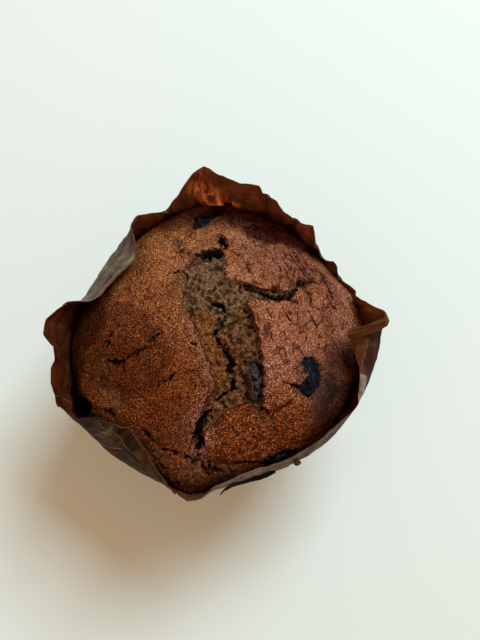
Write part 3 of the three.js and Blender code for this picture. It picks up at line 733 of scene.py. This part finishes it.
def paperMasks(piece, outside, worn):
    spots = readPoints(piece) / mm
    level = np.empty(len(spots), dtype=np.float32)
    piece.data.attributes["level"].data.foreach_get("value", level)
    direction = np.degrees(np.arctan2(spots[:, 1], spots[:, 0])) % 360.0
    wavy = direction + 3.0 * lumps(spots, 5.0, 46)
    along = turnFrom(0.0, direction) * paper["degreeLength"] + 0.4 * lumps(spots, 4.0, 47)
    rise = level * paper["levelLength"] + 0.4 * lumps(spots, 4.0, 48)

    def places(table):
        total = np.zeros(len(spots))
        for turn, height, wide, deep, strength in table:
            away = turnFrom(turn, direction)
            total += strength * np.exp(-(away / wide) ** 2 - ((level - height) / deep) ** 2)
        return np.clip(total, 0.0, 1.0)

    def onSheet(rows, *width):  # directions past the half turn are counted backwards
        return [(turnFrom(0.0, turn) * paper["degreeLength"], height * paper["levelLength"], *width)
                for turn, height in rows]

    faced = np.where(outside, 1.0 - smooth(0.35, 0.65, places(turnedPlaces)), 0.0)
    folds = [onSheet(rows, 0.08) for rows in foldLines]
    line = np.maximum(insideLines(along, rise, folds), -2.0)
    under = insideLines(along, rise + 0.6, folds)  # the shadow beneath a fold
    beyond = beyondSecond(direction, level)
    # a pale line along the second layer's edge, partly painted highlight
    line = np.maximum(line, 0.32 - np.abs(beyond - 0.012) * paper["levelLength"])
    innerLine = insideLine(along, rise, onSheet(innerEdge, 0.06))
    tone = around(wavy, outsideTurns)
    shade = 0.5 * smooth(-0.45, 0.2, under)
    for pale, dark, outline in facets:
        within = smooth(-0.25, 0.25, insideShape(along, rise, onSheet(outline)))
        tone = mix(tone, pale, within)
        shade = np.maximum(shade, dark * within)
    # painted shadow beneath the second layer's edge
    below = 0.9 * hump(beyond + 0.035, 0.035) * smooth(226.0, 234.0, direction) * (beyond < 0.0)
    juice = smooth(1.31, 1.24, level - 0.015 * (direction - 203.0)) * (1.0 - outside)
    juice = juice * smooth(8.0, 6.5, np.abs(direction - 203.5))
    juice = np.maximum(juice, level < -0.5)  # painted shade beside the left berry, and over all of the wing
    stuck = hump(turnFrom(258.0, direction), 9.0) * smooth(1.95, 1.7, level + 0.1 * lumps(spots, 1.5, 49))
    writeMasks(
        piece,
        outside=faced,
        tone=np.where(faced > 0.5, tone, around(wavy, insideTurns)),
        glow=around(wavy, glowTurns) * smooth(0.9, 1.2, level),
        oil=np.maximum(places(oilPlaces), 0.75 * smooth(0.0, 0.02, beyond) * outside),
        line=np.where(outside, line, innerLine),
        shade=np.maximum(np.maximum(shade, below) * outside, juice),
        lower=smooth(0.98, 0.7, level) * (level > -0.5),  # dry and out of the cake's fat
        worn=np.resize(worn, len(spots)) * outside,
        stuck=stuck * (1.0 - outside),
    )
    turn = np.radians(direction)
    tube = paper["flatRadius"]
    sheet = np.stack([tube * np.cos(turn), tube * np.sin(turn), level * paper["levelLength"]], axis=1) * mm
    flat = piece.data.attributes.new("sheet", "FLOAT_VECTOR", "POINT")
    flat.data.foreach_set("vector", sheet.astype(np.float32).ravel())


wing = {  # a corner of the sheet that sticks out below the free edge
    "outer": [(1.4, -42.8), (2.5, -41.5), (3.9, -40.7), (6.7, -39.7), (9.5, -38.9), (12.3, -38.4),
              (14.2, -37.8), (15.8, -36.9), (16.8, -36.2)],
    "widths": [0.2, 0.6, 0.9, 1.3, 1.8, 2.1, 2.1, 1.9, 1.4],  # at the points of its outer edge
    "height": 57.0,
    "rise": 1.3,
    "cells": (32, 3),
}


def addWing(case):
    selectOnly()
    bpy.ops.mesh.primitive_grid_add(x_subdivisions=wing["cells"][0], y_subdivisions=wing["cells"][1], size=2)
    strip = bpy.context.object
    net = (readPoints(strip) + 1.0) / 2.0
    steps = np.linspace(0.0, 1.0, len(wing["outer"]))
    x, y, width = (np.interp(net[:, 0], steps, row) for row in (*zip(*wing["outer"]), wing["widths"]))
    width = width * net[:, 1]
    radius = np.hypot(x, y)
    tall = wing["height"] + wing["rise"] * net[:, 1] * np.minimum(1.0, width + 0.3)
    writePoints(strip, np.stack([x * (1.0 - width / radius), y * (1.0 - width / radius), tall], axis=1))
    writeMasks(strip, level=-1.0)
    selectOnly(strip, case)
    bpy.ops.object.join()


def makeCase():
    columns = sheetColumns()
    levels = [(h / cake["equatorHeight"], h) for h in paper["wallHeights"]]
    levels += [(1.0 + step / paper["rimSteps"], None) for step in range(1, paper["rimSteps"] + 1)]
    selectOnly()
    rows = len(levels) + 2 + paper["curlSteps"]
    bpy.ops.mesh.primitive_grid_add(x_subdivisions=len(columns), y_subdivisions=rows - 1, size=2)
    piece = bpy.context.object
    net = (readPoints(piece) + 1.0) / 2.0
    i = np.round(net[:, 0] * len(columns)).astype(int) % len(columns)
    j = np.round(net[:, 1] * (rows - 1)).astype(int)
    table = np.empty((len(columns), rows, 3))
    foot = cake["footRadius"] + paper["gap"]
    for c, column in enumerate(columns):
        turn = math.radians(column[0])
        for r, radius in enumerate((0.45 * foot, foot)):
            table[c, r] = (radius * math.cos(turn), radius * math.sin(turn), 0.0)
        for r, (level, height) in enumerate(levels, start=2):
            table[c, r] = sheetPoint(*column, level, height)
    rollRim(table, columns, len(levels) + 1)
    writePoints(piece, table[i, j])
    curlLevels = [2.0 + step / paper["curlSteps"] for step in range(1, paper["curlSteps"] + 1)]
    writeMasks(piece, level=np.array([0.0, 0.0] + [level for level, _ in levels] + curlLevels)[j])
    selectOnly(piece)
    bpy.ops.object.mode_set(mode="EDIT")
    bpy.ops.mesh.select_all(action="SELECT")
    bpy.ops.mesh.remove_doubles(threshold=0.0005)
    bpy.ops.mesh.select_mode(type="EDGE")
    bpy.ops.mesh.select_all(action="DESELECT")
    bpy.ops.object.mode_set(mode="OBJECT")
    near = np.hypot(*readPoints(piece)[:, :2].T) < 0.5 * cake["footRadius"]
    ends = np.empty(len(piece.data.edges) * 2, dtype=int)
    piece.data.edges.foreach_get("vertices", ends)
    piece.data.edges.foreach_set("select", near[ends.reshape(-1, 2)].all(axis=1))
    bpy.ops.object.mode_set(mode="EDIT")
    bpy.ops.mesh.edge_face_add()  # closes the foot
    pointOutwards()
    addWing(piece)
    spots = readPoints(piece)
    normals = readPoints(piece, "normal")
    if (normals * spots).sum(axis=1).mean() < 0.0:
        piece.data.flip_normals()
        normals = readPoints(piece, "normal")
    facing = np.sign((normals[:, :2] * spots[:, :2]).sum(axis=1) + 1e-6)
    normals = normals * facing[:, None]  # a pleat's turned layer is pushed as its neighbours are

    # crumpled above the equator, pressed flat below it
    free = smooth(50.0, 60.0, spots[:, 2])
    tall = spots * np.array([1.0, 1.0, 0.42])
    ridges = 1.0 - np.abs(lumps(tall, 8.5, 41)) * 3.2
    small = 1.0 - np.abs(lumps(tall, 3.4, 42)) * 3.2
    push = paper["crumple"] * (0.5 * ridges + 0.42 * small + 0.5 * lumps(spots, 13.0, 43) - 0.4)
    press = 0.13 * lumps(tall, 2.2, 44) + 0.09 * small
    moved = push * free + press * (1.0 - free) * smooth(0.5, 4.0, spots[:, 2])
    writePoints(piece, (spots + normals * moved[:, None]) * mm)
    worn = np.clip(smooth(0.72, 1.0, ridges) + 0.7 * smooth(0.75, 1.0, small), 0.0, 1.0)
    solid = piece.modifiers.new("Solidify", "SOLIDIFY")
    solid.thickness = paper["thickness"] * mm
    solid.offset = 0.0
    solid.use_even_offset = False
    bpy.ops.object.modifier_apply(modifier=solid.name)
    paperMasks(piece, np.arange(len(piece.data.vertices)) < len(spots), worn)
    finishPiece(piece, "paper_sheet", "paper_case", smoothAngle=35.0)
    return piece


casePiece = makeCase()


# tools for finishes

def newNode(tree, kind, inputs, **settings):  # an input is a socket, a colour or a plain value
    node = tree.nodes.new(kind)
    node.location = (len(tree.nodes) % 10 * 220, len(tree.nodes) // 10 * -300)
    for key, value in settings.items():
        setattr(node, key, value)
    for key, value in inputs.items():
        if isinstance(value, bpy.types.NodeSocket):
            tree.links.new(value, node.inputs[key])
        elif node.inputs[key].type == "RGBA":
            node.inputs[key].default_value = value + (1.0,)
        else:
            node.inputs[key].default_value = value
    return node


def colourMix(tree, first, second, factor, blend="MIX"):
    inputs = {0: factor, 6: first, 7: second}
    return newNode(tree, "ShaderNodeMix", inputs, data_type="RGBA", blend_type=blend).outputs[2]


def layered(tree, tone, layers):  # lays colours over one another, each with its share and blend
    for layer in layers:
        tone = colourMix(tree, tone, *layer)
    return tone


def calc(tree, operation, *values):
    return newNode(tree, "ShaderNodeMath", dict(enumerate(values)), operation=operation).outputs[0]


def ramp(tree, value, low, high, start=0.0, end=1.0):
    limits = {"Value": value, "From Min": low, "From Max": high, "To Min": start, "To Max": end}
    return newNode(tree, "ShaderNodeMapRange", limits).outputs[0]


def maskFrom(tree, name, output="Fac"):
    return newNode(tree, "ShaderNodeAttribute", {}, attribute_name=name).outputs[output]


def noiseFrom(tree, coords, scale, detail, roughness):
    inputs = {"Vector": coords, "Scale": scale, "Detail": detail, "Roughness": roughness}
    return newNode(tree, "ShaderNodeTexNoise", inputs).outputs["Fac"]


def noiseMask(tree, coords, scale, low, high, detail, roughness=0.55):
    return ramp(tree, noiseFrom(tree, coords, scale, detail, roughness), low, high)


def stretched(tree, coords, scale):
    return newNode(tree, "ShaderNodeMapping", {"Vector": coords, "Scale": scale}).outputs["Vector"]


def edgesOfCells(tree, coords, scale):
    inputs = {"Vector": coords, "Scale": scale}
    return newNode(tree, "ShaderNodeTexVoronoi", inputs, feature="DISTANCE_TO_EDGE").outputs["Distance"]


def fineGrainGroup():  # grains at two sizes, with a height that goes with them and rare bright glints, which the crust paints in as highlights
    group = bpy.data.node_groups.new("fineGrain", "ShaderNodeTree")
    size = group.interface.new_socket(name="Size", in_out="INPUT", socket_type="NodeSocketFloat")
    size.default_value = 1500.0
    for name in ("Speckle", "Glint", "Height"):
        group.interface.new_socket(name=name, in_out="OUTPUT", socket_type="NodeSocketFloat")
    sizeIn = newNode(group, "NodeGroupInput", {}).outputs["Size"]
    coords = newNode(group, "ShaderNodeTexCoord", {}).outputs["Object"]
    fine = noiseFrom(group, coords, sizeIn, 2.0, 0.6)
    coarse = noiseFrom(group, coords, calc(group, "MULTIPLY", sizeIn, 0.52), 2.0, 0.55)
    both = newNode(group, "ShaderNodeMix", {0: 0.28, 2: fine, 3: coarse}, data_type="FLOAT").outputs[0]
    speckle = ramp(group, both, 0.40, 0.60)
    glint = ramp(group, fine, 0.60, 0.70)
    newNode(group, "NodeGroupOutput", {"Speckle": speckle, "Glint": glint, "Height": both})
    return group


fineGrain = fineGrainGroup()


def grainAt(tree, size):
    return newNode(tree, "ShaderNodeGroup", {"Size": size}, node_tree=fineGrain).outputs


def startMaterial(name):
    material = bpy.data.materials.new(name)
    material.use_nodes = True
    material.node_tree.nodes.clear()
    coords = newNode(material.node_tree, "ShaderNodeTexCoord", {}).outputs["Object"]
    return material, material.node_tree, coords


def skinShader(tree, finish, colour, height):
    bump = newNode(tree, "ShaderNodeBump", {"Height": height, "Strength": finish["bumpShare"],
                                            "Distance": finish["bumpHeight"]})
    inputs = {"Base Color": colour, "Roughness": finish["roughness"], "Specular IOR Level": finish["gloss"],
              "Normal": bump.outputs["Normal"]}
    return newNode(tree, "ShaderNodeBsdfPrincipled", inputs).outputs["BSDF"]


white = (1.0, 1.0, 1.0)
crustFinish = {
    # deep and pale are painted shade and painted light, mixed by how the crust faces the lamp
    "deep": (0.124, 0.023, 0.0038),
    "pale": (0.278, 0.081, 0.024),
    # rosy: partly painted sheen
    "rosy": (0.305, 0.096, 0.044),
    # painted highlight on the curled lip
    "lip": (0.27, 0.093, 0.048),
    "baked": [(0.91, 0.87, 0.84), (1.07, 1.09, 1.1)],  # dark and light, as in the next four
    "patch": [(0.76, 0.64, 0.54), (1.2, 1.26, 1.32)],
    # grain and knob whiten towards their light end, partly painted sheen on the grain tops
    "grain": [(0.2, 0.11, 0.08), (1.92, 2.18, 2.42)],
    "knob": [(0.36, 0.22, 0.17), (2.35, 2.7, 3.2)],
    "crumb": [(0.25, 0.19, 0.15), (2.05, 2.2, 2.3)],
    # painted glints of light on the grain
    "glint": (1.9, 2.4, 3.0),
    "wrinkle": (0.048, 0.007, 0.003),
    # painted shade, with some darker baking
    "toast": (0.17, 0.09, 0.09),
    "brown": (0.14, 0.046, 0.017),
    "olive": (0.15, 0.066, 0.029),
    "golden": (0.175, 0.052, 0.0125),
    # near black: painted shade deep in the cracks and pores
    "gap": (0.009, 0.004, 0.003),
    "pits": (0.045, 0.008, 0.003),
    # juice stains, partly painted shade beside the left berry
    "stain": (0.026, 0.013, 0.0145),
    # a dark line along the split's rim, the cliff and the fine cracks: partly painted shade where the crust
    # drops away
    "edge": (0.045, 0.0065, 0.0035),
    "grainSize": 3000.0,
    "knobSize": 1600.0,
    "wrinkleSize": 430.0,
    "roughness": 0.62,
    "gloss": 0.05,
    "bumpShare": 1.0,
    "bumpHeight": 0.0007,
}


def crustMaterial():
    material, tree, coords = startMaterial("bakedCrust")
    finish = crustFinish
    grain = grainAt(tree, finish["grainSize"])
    knobs = grainAt(tree, finish["knobSize"])
    nubbly, lit, ruddy, lip = (maskFrom(tree, name) for name in ("nubbly", "lit", "ruddy", "lip"))

    # sharp, ragged limits from the distances
    push = calc(tree, "MULTIPLY_ADD", noiseMask(tree, coords, 1300.0, 0.0, 1.0, 3.0), 2.4, -1.2)
    held = calc(tree, "MULTIPLY", push, calc(tree, "MULTIPLY_ADD", maskFrom(tree, "calm"), -0.75, 1.0))
    split = calc(tree, "ADD", maskFrom(tree, "split"), held)
    torn = ramp(tree, split, -0.08, 0.12)
    gap = ramp(tree, calc(tree, "ADD", maskFrom(tree, "gap"), push), -0.12, 0.16)
    crease = calc(tree, "MULTIPLY_ADD", push, 0.26, maskFrom(tree, "crease"))
    crease = ramp(tree, crease, -0.12, 0.06, 0.0, 0.95)
    rough = calc(tree, "MULTIPLY_ADD", push, 0.35, maskFrom(tree, "rough"))
    rough = ramp(tree, rough, 0.30, 0.55, 0.0, 0.65)
    # partly painted shade along the split's rim, the cliff wall and the fine cracks
    rim = ramp(tree, calc(tree, "ABSOLUTE", calc(tree, "ADD", split, 0.22)), 0.12, 0.42, 1.0, 0.0)
    rim = calc(tree, "MULTIPLY", rim, maskFrom(tree, "lipped"))
    rim = calc(tree, "MAXIMUM", rim, ramp(tree, maskFrom(tree, "cliff"), -0.25, 0.05, 0.0, 0.85))
    edge = calc(tree, "MAXIMUM", rim, crease)

    # thin dry lines between cells, drawn out along y
    astray = newNode(tree, "ShaderNodeTexNoise", {"Vector": coords, "Scale": 900.0, "Detail": 2.0})
    inputs = {0: astray.outputs["Color"], 1: (0.0011,) * 3, 2: coords}
    moved = newNode(tree, "ShaderNodeVectorMath", inputs, operation="MULTIPLY_ADD")
    drawn = stretched(tree, moved.outputs["Vector"], (1.0, 0.5, 0.8))
    wrinkles = ramp(tree, edgesOfCells(tree, drawn, finish["wrinkleSize"]), 0.03, 0.11, 0.8, 0.0)
    kept = calc(tree, "MULTIPLY", noiseMask(tree, coords, 330.0, 0.49, 0.55, 3.0), maskFrom(tree, "dry"))
    wrinkles = calc(tree, "MULTIPLY", wrinkles, kept)

    patches = colourMix(tree, *finish["patch"], noiseMask(tree, coords, 170.0, 0.32, 0.68, 7.0, 0.68))
    baked = colourMix(tree, *finish["baked"], noiseMask(tree, coords, 62.0, 0.36, 0.64, 3.0))
    speckled = colourMix(tree, *finish["grain"], grain["Speckle"])
    plain = calc(tree, "MULTIPLY_ADD", ruddy, -0.2, calc(tree, "MULTIPLY_ADD", lip, -0.6, 1.0))
    # painted shade: more dark grain where the crust faces away from the lamp
    shadier = calc(tree, "MULTIPLY_ADD", lit, -0.6, 0.6)
    glints = colourMix(tree, white, finish["glint"], grain["Glint"])
    knobbed = colourMix(tree, *finish["knob"], knobs["Speckle"])
    tone = layered(tree, finish["deep"], [
        (finish["pale"], lit), (finish["rosy"], ruddy), (finish["lip"], lip), (patches, 1.0, "MULTIPLY"),
        (baked, 1.0, "MULTIPLY"), (speckled, plain, "MULTIPLY"), (speckled, shadier, "MULTIPLY"),
        (glints, 1.0, "MULTIPLY"), (knobbed, nubbly, "MULTIPLY"), (finish["pits"], maskFrom(tree, "pits")),
        (finish["wrinkle"], wrinkles), (finish["edge"], edge),
    ])
    clumps = colourMix(tree, *finish["crumb"], noiseMask(tree, coords, 1000.0, 0.37, 0.63, 5.0, 0.75))
    crumb = layered(tree, finish["brown"], [
        (finish["olive"], maskFrom(tree, "olive")), (finish["golden"], maskFrom(tree, "golden")),
        (clumps, 1.0, "MULTIPLY"), (speckled, 0.6, "MULTIPLY"),
    ])
    # painted shade laid over the crust and crumb
    toasted = colourMix(tree, white, finish["toast"], maskFrom(tree, "toast"))
    # painted shade in the cracks and open pores
    holes = calc(tree, "MAXIMUM", gap, calc(tree, "MULTIPLY", maskFrom(tree, "pores"), 0.7))
    tone = layered(tree, tone, [
        (crumb, calc(tree, "MAXIMUM", torn, rough)), (finish["stain"], maskFrom(tree, "stain")),
        (toasted, 1.0, "MULTIPLY"), (finish["gap"], holes),
    ])
    height = calc(tree, "MULTIPLY_ADD", wrinkles, -0.35, grain["Height"])
    height = calc(tree, "MULTIPLY_ADD", calc(tree, "MULTIPLY", knobs["Height"], nubbly), 1.2, height)
    newNode(tree, "ShaderNodeOutputMaterial", {"Surface": skinShader(tree, finish, tone, height)})
    return material


berryFinish = {
    "dark": (0.0006, 0.0009, 0.0022),
    "bloom": (0.0028, 0.0072, 0.018),
    "crumb": (0.075, 0.038, 0.026),
    "dust": (0.085, 0.062, 0.058),
    "grainSize": 900.0,
    "roughness": 0.3,
    "gloss": 0.09,
    "bumpShare": 1.0,
    "bumpHeight": 0.0008,
}


def berryMaterial():
    material, tree, coords = startMaterial("berrySkin")
    finish = berryFinish
    bloom = calc(tree, "MULTIPLY", noiseMask(tree, coords, 520.0, 0.40, 0.66, 4.0), maskFrom(tree, "bloom"))
    dusty = calc(tree, "MULTIPLY", noiseMask(tree, coords, 1100.0, 0.44, 0.60, 3.0), maskFrom(tree, "dust"))
    flecks = noiseMask(tree, coords, 1500.0, 0.63, 0.70, 2.0)
    tone = layered(tree, finish["dark"], [
        (finish["bloom"], bloom), (finish["crumb"], flecks), (finish["dust"], dusty),
    ])
    height = grainAt(tree, finish["grainSize"])["Height"]
    newNode(tree, "ShaderNodeOutputMaterial", {"Surface": skinShader(tree, finish, tone, height)})
    return material


paperFinish = {
    "inner": [(0.06, 0.0076, 0.002), (0.3, 0.105, 0.042)],  # greasy and dry
    "outer": [(0.026, 0.013, 0.0068), (0.27, 0.19, 0.15)],
    "wall": (0.12, 0.062, 0.033),
    "cloud": [(0.54, 0.48, 0.42), (1.66, 1.76, 1.86)],  # dark and light, as in the next three
    "rib": [(0.62, 0.53, 0.46), (1.42, 1.53, 1.62)],
    "oily": [(0.062, 0.022, 0.0075), (0.24, 0.1, 0.038)],
    "stuck": [(0.03, 0.007, 0.004), (0.2, 0.082, 0.046)],
    # pale creases and edges, partly painted highlight
    "crease": (0.33, 0.225, 0.13),
    "through": (0.3, 0.115, 0.062),
    "throughOil": (0.95, 0.44, 0.19),
    "shade": (0.06, 0.06, 0.07),
    "grainSize": 1500.0,
    "foldSize": 200.0,
    "roughness": 0.5,
    "gloss": 0.035,
    "bumpShare": 0.6,
    "bumpHeight": 0.0005,
}


def paperMaterial():
    material, tree, _ = startMaterial("bakingParchment")
    finish = paperFinish
    sheet = maskFrom(tree, "sheet", "Vector")
    along = stretched(tree, sheet, (1.0, 1.0, 3.2))
    upwards = stretched(tree, sheet, (1.0, 1.0, 0.35))
    streaks = noiseMask(tree, along, 170.0, 0.34, 0.66, 5.0, 0.62)
    spots = noiseMask(tree, upwards, 560.0, 0.40, 0.60, 4.0, 0.62)
    names = ("outside", "oil", "tone", "shade", "lower")
    outside, oil, tone, shade, lower = (maskFrom(tree, name) for name in names)

    # pale hair creases, most of them along the sheet
    thin = calc(tree, "SUBTRACT", noiseMask(tree, along, 190.0, 0.0, 1.0, 4.0, 0.6), 0.5)
    thin = ramp(tree, calc(tree, "ABSOLUTE", thin), 0.0, 0.022, 0.26, 0.0)
    drawn = ramp(tree, maskFrom(tree, "line"), -0.18, 0.05, 0.0, 0.75)
    drawn = calc(tree, "MAXIMUM", drawn, calc(tree, "MULTIPLY", thin, outside))
    drawn = calc(tree, "MULTIPLY_ADD", maskFrom(tree, "worn"), 0.06, drawn)

    outer = layered(tree, finish["outer"][0], [(finish["outer"][1], tone), (finish["wall"], lower)])
    cloudy = colourMix(tree, *finish["cloud"], streaks)
    ribbed = colourMix(tree, *finish["rib"], noiseMask(tree, upwards, 260.0, 0.32, 0.68, 4.0, 0.6))
    held = calc(tree, "MULTIPLY_ADD", lower, -0.5, 1.0)
    oily = colourMix(tree, *finish["oily"], spots)
    stuck = colourMix(tree, *finish["stuck"], grainAt(tree, finish["grainSize"])["Speckle"])
    colour = layered(tree, colourMix(tree, *finish["inner"], tone), [
        (outer, outside), (cloudy, held, "MULTIPLY"), (ribbed, held, "MULTIPLY"), (finish["crease"], drawn),
        (oily, oil), (stuck, maskFrom(tree, "stuck")), (finish["shade"], shade, "MULTIPLY"),
    ])
    spotted = colourMix(tree, finish["through"], finish["throughOil"], spots)
    through = layered(tree, finish["through"], [
        (spotted, oil), (ribbed, 0.5, "MULTIPLY"), (finish["shade"], shade, "MULTIPLY"),
    ])
    share = ramp(tree, calc(tree, "MAXIMUM", maskFrom(tree, "glow"), oil), 0.0, 1.0, 0.04, 0.70)

    crisp = ramp(tree, edgesOfCells(tree, upwards, finish["foldSize"]), 0.0, 0.35)
    shader = skinShader(tree, finish, colour, calc(tree, "MULTIPLY_ADD", streaks, 0.8, crisp))
    glowing = newNode(tree, "ShaderNodeBsdfTranslucent", {"Color": through}).outputs["BSDF"]
    both = newNode(tree, "ShaderNodeMixShader", {"Fac": share, 1: shader, 2: glowing})
    newNode(tree, "ShaderNodeOutputMaterial", {"Surface": both.outputs["Shader"]})
    return material


def wear(pieces, material):
    for piece in pieces:
        piece.data.materials.clear()
        piece.data.materials.append(material)


wear([cakePiece], crustMaterial())
wear(berryPieces, berryMaterial())
wear([casePiece], paperMaterial())
print("finishes done")


# floor, light and camera

studio = {
    "floorSize": 2.4,
    "floorColour": (0.80, 0.81, 0.79),
    "windowPlace": (0.30, 0.47, 0.86),
    "windowSize": 0.42,
    "windowPower": 8.6,
    "windowColour": (0.69, 1.0, 1.12),
    "roomColour": (1.0, 0.72, 0.45),
    "roomStrength": 0.57,
    "target": (6.7, 7.9, 52.0),
    "cameraPlace": (6.7, -33.85, 349.08),
    "lens": 57.6,
}


def makeStudio():
    selectOnly()
    bpy.ops.mesh.primitive_plane_add(size=studio["floorSize"])
    floor = bpy.context.object
    floor.name = "floor"
    paint = bpy.data.materials.new("paleFloor")
    paint.use_nodes = True
    shader = paint.node_tree.nodes["Principled BSDF"]
    shader.inputs["Roughness"].default_value = 0.8
    shader.inputs["Base Color"].default_value = studio["floorColour"] + (1.0,)
    wear([floor], paint)
    lamp = bpy.data.lights.new("window", "AREA")
    lamp.size = studio["windowSize"]
    lamp.energy = studio["windowPower"]
    lamp.color = studio["windowColour"]
    window = bpy.data.objects.new("window", lamp)
    bpy.context.scene.collection.objects.link(window)
    window.location = studio["windowPlace"]
    window.rotation_euler = (-window.location).to_track_quat("-Z", "Y").to_euler()
    world = bpy.data.worlds.new("room")
    world.use_nodes = True
    glow = world.node_tree.nodes["Background"]
    glow.inputs["Strength"].default_value = studio["roomStrength"]
    glow.inputs["Color"].default_value = studio["roomColour"] + (1.0,)
    bpy.context.scene.world = world
    bpy.context.scene.view_settings.view_transform = "Standard"


def makeCamera():
    lensData = bpy.data.cameras.new("camera")
    lensData.lens = studio["lens"]
    camera = bpy.data.objects.new("camera", lensData)
    bpy.context.scene.collection.objects.link(camera)
    place = Vector(studio["cameraPlace"]) * mm
    camera.location = place
    back = (place - Vector(studio["target"]) * mm).normalized()
    right = Vector((1.0, 0.0, 0.0))
    camera.rotation_euler = Matrix((right, back.cross(right), back)).transposed().to_euler()
    bpy.context.scene.camera = camera


makeStudio()
makeCamera()
print("studio done")
